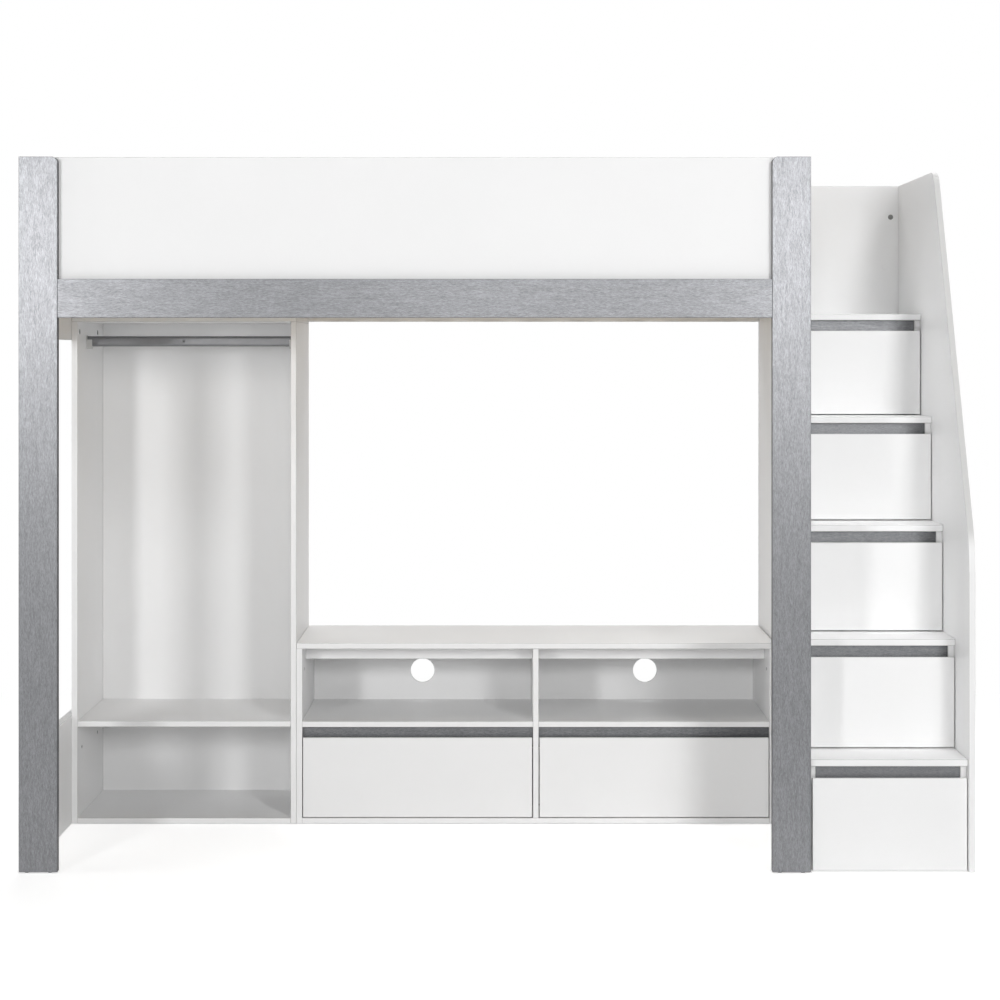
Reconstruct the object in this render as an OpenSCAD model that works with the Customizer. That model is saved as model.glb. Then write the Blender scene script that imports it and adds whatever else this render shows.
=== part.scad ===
// High sleeper bed with an open wardrobe, a media unit and drawer stairs.
// Melamine boards, silver laminated posts and rail, roller-runner drawers.
// The origin is the middle of the footprint on the floor, with +X along the
// bed towards the stairs and +Y towards the wall.

/* [Bed] */
// Length of the mattress that the bed takes
mattress_length = 2000; // [1800:10:2100]
// Width of the mattress that the bed takes
mattress_width = 900; // [800:10:1000]
// Play left along the mattress for the bedding
mattress_play_length = 8; // [4:1:30]
// Play left across the mattress for the bedding
mattress_play_width = 26; // [10:1:40]
// Height of the posts and of the guard panels
bed_height = 1850; // [1800:5:1950]
// Thickness of the boards that carry the bed
frame_board = 22; // [19:0.5:25]
// Width of the posts
post_width = 100; // [80:1:130]
// Radius of the upper inner corner of the front posts
post_corner_radius = 15; // [5:1:40]
// Height of the silver side rail
side_rail_height = 100; // [70:1:130]
// How far the side rail reaches down over the edge of the wardrobe's top
rail_lap = 14; // [0:1:30]
// Height of the rear guard panel's lower edge above the side rail's
rear_panel_lift = 4; // [0:1:20]
// How far the upper end panel reaches down beside the wardrobe
end_panel_lap = 68; // [60:1:120]
// Height of the lower panel at the wardrobe end
lower_end_panel_height = 308; // [200:1:400]
// Length of the guard above the end panel, which leaves the way in from the stairs
end_guard_length = 578; // [450:1:620]
// Thickness of the glides under every standing board
glide_height = 2; // [1:0.5:4]
// Radius of a glide
glide_radius = 7; // [5:0.5:7.5]
// Distance of a post's glides from its edges
post_glide_inset = 20; // [12:1:30]
// Distance of a side board's glides from its ends
side_glide_inset = 40; // [20:1:80]

/* [Slatted base] */
// Number of slats
slat_count = 14; // [10:1:18]
// Width of a slat
slat_width = 70; // [50:1:80]
// Thickness of a slat
slat_thickness = 18; // [15:1:22]
// Width of the ledger strips that carry the slats
ledger_width = 22; // [18:1:30]
// Height of the ledger strips
ledger_height = 30; // [20:1:40]
// Space between the wardrobe and the ledgers above it
wardrobe_headroom = 7; // [2:1:20]
// Distance of the ledgers' ends from the end panels
ledger_inset = 8; // [2:1:30]
// Play at each end of a slat
slat_end_play = 2; // [1:0.5:5]

/* [Cabinets] */
// Thickness of the cabinet boards
board = 16; // [15:0.5:19]
// Thickness of the cabinet backs
back_board = 8; // [3:0.5:10]
// Depth of the wardrobe and of the media unit
cabinet_depth = 400; // [380:5:430]
// Joint between neighbouring cabinets
cabinet_joint = 0.5; // [0.2:0.1:0.8]
// Radius of the cam locks
cam_radius = 7.5; // [6:0.5:8]
// Depth of the cam locks in their board
cam_depth = 12; // [9:0.5:13]
// Radius of the connector screws' heads
connector_radius = 5; // [4:0.5:6]
// Length of the connector screws that show in a cabinet
connector_length = 14; // [8:0.5:14.5]
// Running clearance around a fitting in its bore
fitting_clearance = 0.1; // [0.05:0.05:0.2]
// Distance of the front cam locks behind the cabinets' front edges
cam_front_inset = 37; // [30:1:60]
// Distance of the rear cam locks from the cabinets' rear edges
cam_rear_inset = 92; // [60:1:120]
// Distance of the front connector screws behind the cabinets' front edges
screw_front_inset = 68; // [40:1:100]
// Distance of the rear connector screws from the cabinets' rear edges
screw_rear_inset = 96; // [60:1:120]

/* [Wardrobe] */
// Width of the wardrobe
wardrobe_width = 640; // [560:5:700]
// Height of the wardrobe
wardrobe_height = 1448; // [1400:1:1450]
// Height of the shelf's upper face
wardrobe_shelf_level = 294; // [220:1:420]
// Distance of the hanging rail's middle below the wardrobe's top
hanging_rail_drop = 71; // [60:1:150]
// Distance of the hanging rail behind the front edge
hanging_rail_setback = 140; // [100:5:250]
// Height of the oval rail
hanging_rail_height = 30; // [25:1:35]
// Thickness of the oval rail
hanging_rail_thickness = 15; // [12:1:18]
// Wall of the oval rail
hanging_rail_wall = 1.5; // [1:0.1:2.5]
// Radius of the small hole in the rail's front
rail_hole_radius = 3; // [2:0.5:5]
// Distance of the small hole from the wardrobe's left side
rail_hole_offset = 284; // [100:1:450]
// Length of rail that a socket covers
socket_length = 17; // [10:1:25]
// Wall of a socket
socket_wall = 2.5; // [2:0.1:4]
// Thickness of a socket under the rail
socket_base = 7; // [4:0.5:10]
// Distance of the upper cam locks below the wardrobe's top
wardrobe_cam_drop = 44; // [30:1:50]
// Distance of the lower screws below the lower end panel's upper edge
wardrobe_screw_drop = 101; // [40:1:150]

/* [Media unit] */
// Gap between the media unit and the end panel beside it
media_end_gap = 3; // [1:0.5:6]
// Height of the media unit
media_height = 516; // [480:1:600]
// Height of the shelves' upper face
media_shelf_level = 293; // [285:1:320]
// Height of the battens under the top
stretcher_height = 45; // [30:1:60]
// Distance of the battens behind the front edge
stretcher_setback = 116; // [60:1:200]
// Radius of the cable holes
cable_hole_radius = 36; // [25:1:40]
// Height of the middle of the cable holes above the shelves
cable_hole_rise = 88; // [60:1:100]
// Distance of the screws that join the media unit to its neighbours below its top
media_screw_drop = 83; // [70:1:110]
// Space between a media drawer's box and the back
media_drawer_space = 26; // [10:1:60]
// Travel of a media drawer
media_drawer_travel = 260; // [200:5:280]

/* [Stairs] */
// Going of a step
step_going = 154; // [140:1:160]
// Distance of the lowest nosing behind the front face of the bed
first_nosing = 12; // [5:1:30]
// Thickness of a tread
tread_thickness = 18; // [16:0.5:22]
// Overhang of a tread over the gables
tread_overhang = 18; // [17:0.5:25]
// Radius of the nosing's two edges
nosing_radius = 2; // [1:0.5:4]
// Clear width between the gables
stairs_inner_width = 376; // [350:1:420]
// Joint between a tread and the guard panel
tread_joint = 0.8; // [0.2:0.1:0.9]
// Height at which the guard panel's front edge starts to lean back
guard_slope_start = 842; // [700:1:950]
// Depth of the guard panel's front edge at its upper end
guard_top_setback = 460; // [400:5:520]
// Radius of the guard panel's upper corner
guard_corner_radius = 55; // [20:1:80]
// Radius of the bend in the guard panel's front edge
guard_bend_radius = 300; // [100:10:500]
// Distance of the guard panel's upper cam lock below the upper edge
guard_cam_drop = 94; // [40:1:150]
// Distance between the guard panel's two cam locks
guard_cam_pitch = 152; // [96:1:200]
// Distance of the guard panel's upper cam lock from the panel
guard_cam_inset = 24; // [18:1:34]
// Distance of the guard panel's lower cam lock from the panel
guard_lower_cam_inset = 42; // [18:1:60]
// How far the lower cam lock's cover cap reaches past it
cap_lip = 0.7; // [0.5:0.1:2]
// Thickness of the cover cap
cap_thickness = 0.8; // [0.5:0.1:1.5]
// Space behind the box of the last drawer below the top one
step_drawer_space = 86; // [20:1:120]
// Travel of the lower stair drawers
step_drawer_travel = 300; // [250:5:320]
// Space behind the top drawer's box
top_drawer_space = 32; // [10:1:60]
// Travel of the top stair drawer
top_drawer_travel = 220; // [180:5:225]

/* [Drawers] */
// Thickness of the drawer fronts
front_board = 16; // [15:0.5:17]
// Finger gap above a drawer front
finger_gap = 30; // [25:1:36]
// Joint under and beside an inset front
front_joint = 2.5; // [1.5:0.1:4]
// Width of the gable's edge that shows beside a stair drawer's front
front_reveal = 5.5; // [2:0.5:8]
// Joint between a stair drawer's front and the tread below it
step_front_lift = 3; // [2:0.5:5]
// Height of the bevel behind a front's upper edge
finger_bevel = 14; // [8:1:20]
// Thickness left at the top of the bevel
finger_edge = 6; // [4:0.5:10]
// Height of the silver strips behind the finger gaps
strip_height = 60; // [50:1:66]
// Distance of a media strip behind the drawer face
media_strip_setback = 20; // [19:0.5:24]
// Distance of a stair strip behind the gables' front edges
step_strip_setback = 4; // [2:0.5:8]
// Space between a drawer box and the silver strip above it
box_headroom = 22; // [10:1:40]
// Thickness of a box's sides and back
box_board = 12; // [10:0.5:15]
// Thickness of a box's bottom
box_bottom_board = 4; // [3:0.5:6]
// Height of the bottom above the sides' lower edges
box_bottom_lift = 10; // [8:0.5:14]
// Depth of the groove for the bottom
box_groove = 6; // [4:0.5:7]
// Assembly clearance between the boards of a box
box_clearance = 0.2; // [0.1:0.05:0.4]
// Height of a box above the floor of its bay
box_lift = 22; // [21:0.5:26]

/* [Roller runners] */
// Space for a runner beside a box
runner_space = 12.5; // [12:0.1:14]
// Sheet thickness of the runners
runner_sheet = 1.5; // [1.2:0.1:1.6]
// Radius of the rollers
roller_radius = 7; // [6:0.5:7.5]
// Width of the rollers
roller_width = 6; // [5:0.5:6.5]
// Radius of the rollers' pins
pin_radius = 2; // [1.5:0.1:2.5]
// Running clearance of the rollers
roller_clearance = 0.3; // [0.25:0.05:0.5]
// Distance of a roller's middle from the end of its runner
roller_inset = 12; // [10:0.5:16]
// Length of the lug that stops a drawer's roller
stop_length = 3; // [2:0.5:5]
// Height of the lug that stops a drawer's roller
stop_height = 4; // [3:0.5:5]

/* [Hidden] */
$fn = 48;

melamine = "white";
laminate = [0.66, 0.67, 0.69];

// Along the bed, from the outer face at the wardrobe end
inner_left = frame_board;
inner_right = inner_left + mattress_length + mattress_play_length;
bed_end = inner_right + board;
stairs_left = bed_end + board;
stairs_right = stairs_left + stairs_inner_width;
guard_left = stairs_right + board;
total_length = guard_left + board;

// From the front face towards the wall
guard_back = 2 * frame_board;
inner_back = guard_back + mattress_width + mattress_play_width;
total_depth = inner_back + frame_board;
cabinet_front = inner_back - cabinet_depth;
cabinet_back = inner_back;
back_face = cabinet_back - back_board;
stairs_back = total_depth - board;

// Up from the floor. The bed lies on the cabinets' level, and the steps rise evenly to its ledgers.
stand = glide_height;
front_clear_height = wardrobe_height - rail_lap;
rear_clear_height = front_clear_height + rear_panel_lift;
side_rail_top = front_clear_height + side_rail_height;
ledger_level = wardrobe_height + wardrobe_headroom;
upper_end_panel_level = wardrobe_height - end_panel_lap;
step_count = 5;
step_rise = ledger_level / step_count;

// Wardrobe and media unit
wardrobe_x0 = inner_left + cabinet_joint;
wardrobe_x1 = wardrobe_x0 + wardrobe_width;
wardrobe_cam_level = wardrobe_height - wardrobe_cam_drop;
wardrobe_screw_level = stand + lower_end_panel_height - wardrobe_screw_drop;
wardrobe_screws = [cabinet_front + screw_front_inset, cabinet_back - screw_rear_inset];
hanging_rail_y = cabinet_front + hanging_rail_setback;
hanging_rail_level = wardrobe_height - hanging_rail_drop;
media_x0 = wardrobe_x1 + cabinet_joint;
media_x1 = inner_right - media_end_gap;
bay_width = (media_x1 - media_x0 - 3 * board) / 2;
media_divider_x = media_x0 + board + bay_width;
media_shelf_under = media_shelf_level - board;
media_floor = stand + board;
media_screw_level = media_height - media_screw_drop;
media_screws = [cabinet_front + screw_front_inset, cabinet_back - screw_rear_inset];
cable_hole_level = media_shelf_level + cable_hole_rise;
guard_cam_level = bed_height - guard_cam_drop;
guard_cam = [guard_left - guard_cam_inset, guard_cam_level];
guard_lower_cam = [guard_left - guard_lower_cam_inset, guard_cam_level - guard_cam_pitch];

// Drawers and runners
step_front_height = step_rise - tread_thickness - finger_gap - step_front_lift;
media_front_height = media_shelf_under - finger_gap - media_floor - front_joint;
step_front_left = bed_end + front_reveal;
step_front_right = guard_left - front_joint;
media_drawer_length = cabinet_depth - back_board - front_board - media_drawer_space;
box_side_height = media_shelf_under - media_floor - strip_height - box_headroom - box_lift;
runner_top = box_lift - box_clearance - runner_sheet;
roller_level = runner_top - roller_clearance - roller_radius;
runner_base = roller_level - roller_radius - roller_clearance - runner_sheet;
// The cabinet's members start behind the edge of the board that carries them.
member_start = tread_overhang - front_board + 2;

function nosing(i) = first_nosing + (i - 1) * step_going;
function gable_edge(i) = nosing(i) + tread_overhang;
function tread_top(i) = i * step_rise;
function bay_floor(i) = (i - 1) * step_rise;
// The drawers below the top one are alike, and the last of them has the least room behind it.
function box_room(i) = stairs_back - nosing(i) - front_board;
function step_length(i) = i == step_count
  ? box_room(step_count) - top_drawer_space : box_room(step_count - 1) - step_drawer_space;
function step_travel(i) = i == step_count ? top_drawer_travel : step_drawer_travel;

// Moves what is drawn from the front left floor corner to the part's own frame.
module placed() translate([-total_length / 2, -total_depth / 2, 0]) children();

// A board from one corner to the opposite one.
module slab(from, to) translate(from) cube(to - from);

// Extrudes an outline that is drawn in depth and height, from x0 to x1.
module across(x0, x1) translate([x0, 0, 0]) rotate([90, 0, 90]) linear_extrude(x1 - x0) children();

// A round fitting or bore along X, from x0 to x1.
module round_x(x0, x1, y, z, r) translate([x0, y, z]) rotate([0, 90, 0]) cylinder(h = x1 - x0, r = r);

// A round fitting or bore along Y, from y0 to y1.
module round_y(y0, y1, x, z, r) translate([x, y1, z]) rotate([90, 0, 0]) cylinder(h = y1 - y0, r = r);

// Post in the plane of the front, with one rounded upper corner. side is 1 where that corner is on the right.
module front_post(x0, side) {
  r = post_corner_radius;
  color(laminate) difference() {
    slab([x0, 0, stand], [x0 + post_width, frame_board, bed_height]);
    corner = side > 0 ? x0 + post_width - r : x0 + r;
    translate([corner, 0, bed_height - r]) difference() {
      translate([side > 0 ? 0 : -r - 1, -1, 0]) cube([r + 1, frame_board + 2, r + 1]);
      translate([0, frame_board + 2, 0]) rotate([90, 0, 0]) cylinder(h = frame_board + 4, r = r);
    }
  }
}

module front_left_post() placed() front_post(0, 1);

module front_right_post() placed() front_post(bed_end - post_width, -1);

module front_side_rail() placed() color(laminate)
  slab([post_width, 0, front_clear_height], [bed_end - post_width, frame_board, side_rail_top]);

// Carries the front ledger and stands behind the posts and the rail.
module front_guard_panel() placed() color(melamine)
  slab([inner_left, frame_board, front_clear_height], [inner_right, guard_back, bed_height]);

module rear_left_post() placed() color(melamine)
  slab([0, inner_back, stand], [post_width, total_depth, bed_height]);

module rear_guard_panel() placed() color(melamine)
  slab([post_width, inner_back, rear_clear_height], [inner_right, total_depth, bed_height]);

module left_upper_end_panel() placed() color(melamine)
  slab([0, frame_board, upper_end_panel_level], [inner_left, inner_back, bed_height]);

module left_lower_end_panel() placed() color(melamine)
  slab([0, frame_board, stand], [inner_left, inner_back, stand + lower_end_panel_height]);

module right_end_panel() placed() color(melamine)
  slab([inner_right, frame_board, stand], [bed_end, total_depth, side_rail_top]);

module right_upper_end_guard() placed() color(melamine)
  slab([inner_right, frame_board, side_rail_top], [bed_end, frame_board + end_guard_length, bed_height]);

// One ledger on the front guard panel and one on the rear one.
module slat_ledgers() placed() color("burlywood")
  for (y = [guard_back, inner_back - ledger_width])
    slab([inner_left + ledger_inset, y, ledger_level],
         [inner_right - ledger_inset, y + ledger_width, ledger_level + ledger_height]);

module bed_slats() placed() color("burlywood") {
  pitch = (inner_right - inner_left) / slat_count;
  z = ledger_level + ledger_height;
  for (i = [0 : slat_count - 1]) {
    x = inner_left + (i + 0.5) * pitch - slat_width / 2;
    slab([x, guard_back + slat_end_play, z],
         [x + slat_width, inner_back - slat_end_play, z + slat_thickness]);
  }
}

// Side of the wardrobe, with bores for its upper cam locks and for the given screws.
// in_x is the inner face and out the direction from it into the board.
module wardrobe_side(in_x, out, screws) {
  low = min(in_x, in_x + out * board);
  color(melamine) difference() {
    slab([low, cabinet_front, stand], [low + board, cabinet_back, wardrobe_height - board]);
    for (y = [cabinet_front + cam_front_inset, cabinet_back - cam_rear_inset])
      fitting_bore(in_x, out, y, wardrobe_cam_level, cam_radius, cam_depth);
    for (y = screws)
      fitting_bore(in_x, out, y, wardrobe_screw_level, connector_radius, connector_length);
  }
}

// A blind bore for a fitting of the given radius and depth, from the face at in_x.
module fitting_bore(in_x, out, y, z, r, depth) {
  deep = depth + fitting_clearance;
  from = out > 0 ? in_x - 1 : in_x - deep;
  round_x(from, from + deep + 1, y, z, r + fitting_clearance);
}

module wardrobe_left_side() placed() wardrobe_side(wardrobe_x0 + board, -1, wardrobe_screws);

module wardrobe_right_side() placed() wardrobe_side(wardrobe_x1 - board, 1, []);

module wardrobe_top() placed() color(melamine)
  slab([wardrobe_x0, cabinet_front, wardrobe_height - board], [wardrobe_x1, cabinet_back, wardrobe_height]);

module wardrobe_shelf() placed() color(melamine)
  slab([wardrobe_x0 + board, cabinet_front, wardrobe_shelf_level - board],
       [wardrobe_x1 - board, back_face, wardrobe_shelf_level]);

module wardrobe_bottom() placed() color(melamine)
  slab([wardrobe_x0 + board, cabinet_front, stand], [wardrobe_x1 - board, back_face, stand + board]);

module wardrobe_back() placed() color(melamine)
  slab([wardrobe_x0 + board, back_face, stand], [wardrobe_x1 - board, cabinet_back, wardrobe_height - board]);

// Outline of the oval rail, grown by d and drawn out downwards by drop.
module oval(d, drop = 0) {
  r = hanging_rail_thickness / 2 + d;
  flat = hanging_rail_height / 2 - hanging_rail_thickness / 2;
  for (z = [-flat - drop, flat]) translate([0, z]) circle(r);
  translate([-r, -flat - drop]) square([2 * r, 2 * flat + drop]);
}

module hanging_rail() placed() color("silver") difference() {
  across(wardrobe_x0 + board + socket_wall + box_clearance, wardrobe_x1 - board - socket_wall - box_clearance)
    translate([hanging_rail_y, hanging_rail_level]) difference() {
      oval(0);
      oval(-hanging_rail_wall);
    }
  round_y(hanging_rail_y - hanging_rail_thickness, hanging_rail_y,
          wardrobe_x0 + board + rail_hole_offset, hanging_rail_level, rail_hole_radius);
}

// A cup, open at the top, that the end of the rail drops into. It stands on the side board at x.
module rail_socket(x, out) {
  cup = socket_wall + fitting_clearance;
  from = out > 0 ? x : x - socket_length;
  plate = out > 0 ? x : x - socket_wall;
  color("gainsboro") difference() {
    across(from, from + socket_length) translate([hanging_rail_y, hanging_rail_level])
      oval(cup, socket_base - socket_wall);
    difference() {
      across(from - 1, from + socket_length + 1) translate([hanging_rail_y, hanging_rail_level]) {
        oval(fitting_clearance);
        r = hanging_rail_thickness / 2 + cup + 1;
        translate([-r, hanging_rail_height / 6]) square([2 * r, hanging_rail_height]);
      }
      slab([plate, hanging_rail_y - 50, hanging_rail_level - 50],
           [plate + socket_wall, hanging_rail_y + 50, hanging_rail_level + 50]);
    }
  }
}

module hanging_rail_sockets() placed() {
  rail_socket(wardrobe_x0 + board, 1);
  rail_socket(wardrobe_x1 - board, -1);
}

module media_top() placed() color(melamine)
  slab([media_x0, cabinet_front, media_height - board], [media_x1, cabinet_back, media_height]);

// Side of the media unit, with bores for the screws that join it to its neighbour.
module media_side(in_x, out) {
  low = min(in_x, in_x + out * board);
  color(melamine) difference() {
    slab([low, cabinet_front, stand], [low + board, cabinet_back, media_height - board]);
    for (y = media_screws)
      fitting_bore(in_x, out, y, media_screw_level, connector_radius, connector_length);
  }
}

module media_left_side() placed() media_side(media_x0 + board, -1);

module media_right_side() placed() media_side(media_x1 - board, 1);

module media_divider() placed() color(melamine)
  slab([media_divider_x, cabinet_front, media_floor],
       [media_divider_x + board, cabinet_back, media_height - board]);

module media_bottom() placed() color(melamine)
  slab([media_x0 + board, cabinet_front, stand], [media_x1 - board, cabinet_back, media_floor]);

// Draws its children in the left and in the right bay, between the inner faces at $x0 and $x1.
module media_bays()
  for ($x0 = [media_x0 + board, media_divider_x + board])
    let ($x1 = $x0 + bay_width) children();

module media_shelves() placed() color(melamine) media_bays()
  slab([$x0, cabinet_front, media_shelf_under], [$x1, back_face, media_shelf_level]);

module media_stretchers() placed() color(melamine) media_bays()
  slab([$x0, cabinet_front + stretcher_setback, media_height - board - stretcher_height],
       [$x1, cabinet_front + stretcher_setback + board, media_height - board]);

module media_grip_strips() placed() color(laminate) media_bays()
  slab([$x0, cabinet_front + media_strip_setback, media_shelf_under - strip_height],
       [$x1, cabinet_front + media_strip_setback + board, media_shelf_under]);

// Back of one bay, with its cable hole.
module media_back(x0) color(melamine) difference() {
  slab([x0, back_face, media_floor], [x0 + bay_width, cabinet_back, media_height - board]);
  round_y(back_face - 1, cabinet_back + 1, x0 + bay_width / 2, cable_hole_level, cable_hole_radius);
}

module media_left_back() placed() media_back(media_x0 + board);

module media_right_back() placed() media_back(media_divider_x + board);

// Stepped side of the stairs. Every tread lies on one of its steps and meets the next riser edge.
module gable(x0) {
  corners = [for (i = [1 : step_count]) each [
    [gable_edge(i), i == 1 ? stand : tread_top(i - 1) - tread_thickness],
    [gable_edge(i), tread_top(i) - tread_thickness]
  ]];
  color(melamine) across(x0, x0 + board) polygon(concat(
    corners, [[stairs_back, tread_top(step_count) - tread_thickness], [stairs_back, stand]]));
}

module stairs_left_gable() placed() gable(bed_end);

module stairs_right_gable() placed() gable(stairs_right);

// Outer guard of the stairs: upright at the foot, leaning back above it, with a rounded top corner.
// The bend and the corner are arcs that meet their edges at a tangent.
module guard_outline() {
  rise = bed_height - guard_slope_start;
  lean = atan2(guard_top_setback, rise);
  bend_run = guard_bend_radius * tan(lean / 2);
  turn = 90 - lean;
  corner_run = guard_corner_radius * tan(turn / 2);
  corner = [guard_top_setback + corner_run, bed_height - guard_corner_radius];
  hub = [guard_bend_radius, guard_slope_start - bend_run];
  difference() {
    union() {
      polygon([
        [0, stand], [total_depth, stand], [total_depth, bed_height],
        [corner[0], bed_height], corner,
        [guard_top_setback - corner_run * sin(lean), bed_height - corner_run * cos(lean)],
        [bend_run * sin(lean), guard_slope_start + bend_run * cos(lean)],
        hub, [0, hub[1]]
      ]);
      translate(corner) circle(guard_corner_radius);
      intersection() {
        translate(hub) circle(guard_bend_radius, $fn = 96);
        translate([0, hub[1]]) square([guard_bend_radius, 2 * bend_run]);
      }
    }
    translate([-10, 0]) square([10, 2 * bed_height]);
  }
}

module stairs_guard_panel() placed() color(melamine) across(guard_left, total_length) guard_outline();

module stairs_back_panel() placed() color(melamine) difference() {
  slab([bed_end, stairs_back, stand], [guard_left, total_depth, bed_height]);
  for (at = [guard_cam, guard_lower_cam])
    round_y(stairs_back - 1, stairs_back + cam_depth + fitting_clearance,
            at[0], at[1], cam_radius + fitting_clearance);
}

// A tread from its rounded nosing to the next riser, or to the back panel.
module tread(i) {
  end = i == step_count ? stairs_back : gable_edge(i + 1);
  r = nosing_radius;
  translate([0, nosing(i), tread_top(i) - tread_thickness])
    color(melamine) across(bed_end, guard_left - tread_joint) {
      translate([r, 0]) square([end - nosing(i) - r, tread_thickness]);
      translate([0, r]) square([r, tread_thickness - 2 * r]);
      for (z = [r, tread_thickness - r]) translate([r, z]) circle(r);
    }
}

module step_1_tread() placed() tread(1);
module step_2_tread() placed() tread(2);
module step_3_tread() placed() tread(3);
module step_4_tread() placed() tread(4);
module step_5_tread() placed() tread(5);

module stairs_grip_strips() placed() color(laminate) for (i = [1 : step_count]) {
  y = gable_edge(i) + step_strip_setback;
  z = tread_top(i) - tread_thickness;
  slab([stairs_left, y, z - strip_height], [stairs_right, y + board, z]);
}

// A drawer front, seen in section: square in front, bevelled behind its upper edge for the fingers.
module drawer_front(x0, x1, height) color(melamine) across(x0, x1) polygon([
  [0, 0], [front_board, 0], [front_board, height - finger_bevel], [finger_edge, height], [0, height]
]);

// A drawer box and its half of the runners, from the back of the front. The bay is centred on x = 0.
module drawer_box(bay, length) {
  outer = bay / 2 - runner_space;
  inner = outer - box_board;
  groove_low = box_lift + box_bottom_lift;
  groove_high = groove_low + box_bottom_board + 2 * box_clearance;
  color(melamine) {
    for (side = [-1, 1]) difference() {
      slab([min(side * inner, side * outer), 0, box_lift],
           [max(side * inner, side * outer), length, box_lift + box_side_height]);
      slab([side > 0 ? inner - 1 : -inner - box_groove, -1, groove_low],
           [side > 0 ? inner + box_groove : -inner + 1, length + 1, groove_high]);
    }
    slab([box_clearance - inner, length - box_board, groove_high],
         [inner - box_clearance, length, box_lift + box_side_height]);
    slab([box_clearance - inner - box_groove, 0, groove_low + box_clearance],
         [inner + box_groove - box_clearance, length, groove_high - box_clearance]);
  }
  for (side = [0, 1]) mirror([side, 0, 0]) drawer_member(outer, length);
}

// The drawer's half of a runner: it wraps the side's lower edge and carries a roller at its rear end.
module drawer_member(outer, length) {
  leg = outer + box_clearance;
  track = outer + runner_space - runner_sheet - roller_clearance;
  tab = roller_level - roller_radius + 2;
  roller = roller_side(outer);
  color("whitesmoke") {
    slab([outer - 10, 0, runner_top], [track, length, runner_top + runner_sheet]);
    slab([leg, 0, runner_top], [leg + runner_sheet, length, box_lift + 12]);
    slab([leg, length - 2 * roller_inset, tab], [leg + runner_sheet, length, runner_top + runner_sheet]);
    round_x(leg, roller + roller_width, length - roller_inset, roller_level, pin_radius);
  }
  color("gainsboro") roller_wheel(roller, length - roller_inset);
}

// Where the rollers start beside a box, so that both halves share one track.
function roller_side(outer) = outer + runner_space - runner_sheet - 1 - roller_width;

// A roller on its pin, at the given depth.
module roller_wheel(x, y) difference() {
  round_x(x, x + roller_width, y, roller_level, roller_radius);
  round_x(x - 1, x + roller_width + 1, y, roller_level, pin_radius + box_clearance);
}

// The cabinet's half of a pair of runners, which carries a roller at its front end. A lug stops the
// drawer's roller at the end of its travel.
module cabinet_members(bay, length, travel) for (side = [0, 1]) mirror([side, 0, 0]) {
  outer = bay / 2 - runner_space;
  wall = bay / 2;
  roller = roller_side(outer);
  y0 = member_start;
  stop = length - roller_inset - travel - roller_radius - roller_clearance;
  color("whitesmoke") {
    slab([wall - runner_sheet, y0, runner_base], [wall, length, box_lift + 8]);
    slab([roller, y0, runner_base], [wall, length, runner_base + runner_sheet]);
    slab([roller, stop - stop_length, runner_base], [wall, stop, runner_base + runner_sheet + stop_height]);
    round_x(roller, wall, y0 + roller_inset, roller_level, pin_radius);
  }
  color("gainsboro") roller_wheel(roller, y0 + roller_inset);
}

// Puts its children at the back of a drawer's front, in the middle of its bay.
module in_step_bay(i)
  translate([(stairs_left + stairs_right) / 2, nosing(i) + front_board, bay_floor(i)]) children();

module in_media_bay(n)
  translate([media_x0 + board + bay_width / 2 + n * (bay_width + board),
             cabinet_front + front_board, media_floor]) children();

module drawer_runners() placed() {
  for (i = [1 : step_count]) in_step_bay(i)
    cabinet_members(stairs_inner_width, step_length(i), step_travel(i));
  for (n = [0, 1]) in_media_bay(n) cabinet_members(bay_width, media_drawer_length, media_drawer_travel);
}

module step_front(i) translate([0, nosing(i), bay_floor(i) + step_front_lift])
  drawer_front(step_front_left, step_front_right, step_front_height);
module step_box(i) in_step_bay(i) drawer_box(stairs_inner_width, step_length(i));
module media_front(x0) translate([0, cabinet_front, media_floor + front_joint])
  drawer_front(x0 + front_joint, x0 + bay_width - front_joint, media_front_height);

module media_left_drawer_front() placed() media_front(media_x0 + board);
module media_left_drawer_box() placed() in_media_bay(0) drawer_box(bay_width, media_drawer_length);
module media_right_drawer_front() placed() media_front(media_divider_x + board);
module media_right_drawer_box() placed() in_media_bay(1) drawer_box(bay_width, media_drawer_length);
module step_1_drawer_front() placed() step_front(1);
module step_1_drawer_box() placed() step_box(1);
module step_2_drawer_front() placed() step_front(2);
module step_2_drawer_box() placed() step_box(2);
module step_3_drawer_front() placed() step_front(3);
module step_3_drawer_box() placed() step_box(3);
module step_4_drawer_front() placed() step_front(4);
module step_4_drawer_box() placed() step_box(4);
module step_5_drawer_front() placed() step_front(5);
module step_5_drawer_box() placed() step_box(5);

// A cam that fills its bore below z = 0. Its face has a cross for the driver, and beside the cross
// the crescent through which it draws the head of its bolt.
module cam() {
  cross = cam_radius * 0.42;
  difference() {
    translate([0, 0, -cam_depth]) cylinder(h = cam_depth, r = cam_radius);
    translate([-cam_radius * 0.25, 0, 0]) for (turn = [0, 90])
      rotate([0, 0, turn]) translate([-cross, -0.6, -1.5]) cube([2 * cross, 1.2, 3]);
    translate([0, 0, -cam_depth * 0.7]) linear_extrude(cam_depth) difference() {
      circle(cam_radius * 0.84);
      translate([-cam_radius * 0.25, 0]) circle(cam_radius * 0.62);
    }
  }
}

// A cam in the board at in_x, with its crescent turned down.
module cam_x(in_x, out, y, z)
  translate([in_x, y, z]) rotate([0, -90 * out, 0]) rotate([0, 0, out > 0 ? 180 : 0]) cam();

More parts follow.
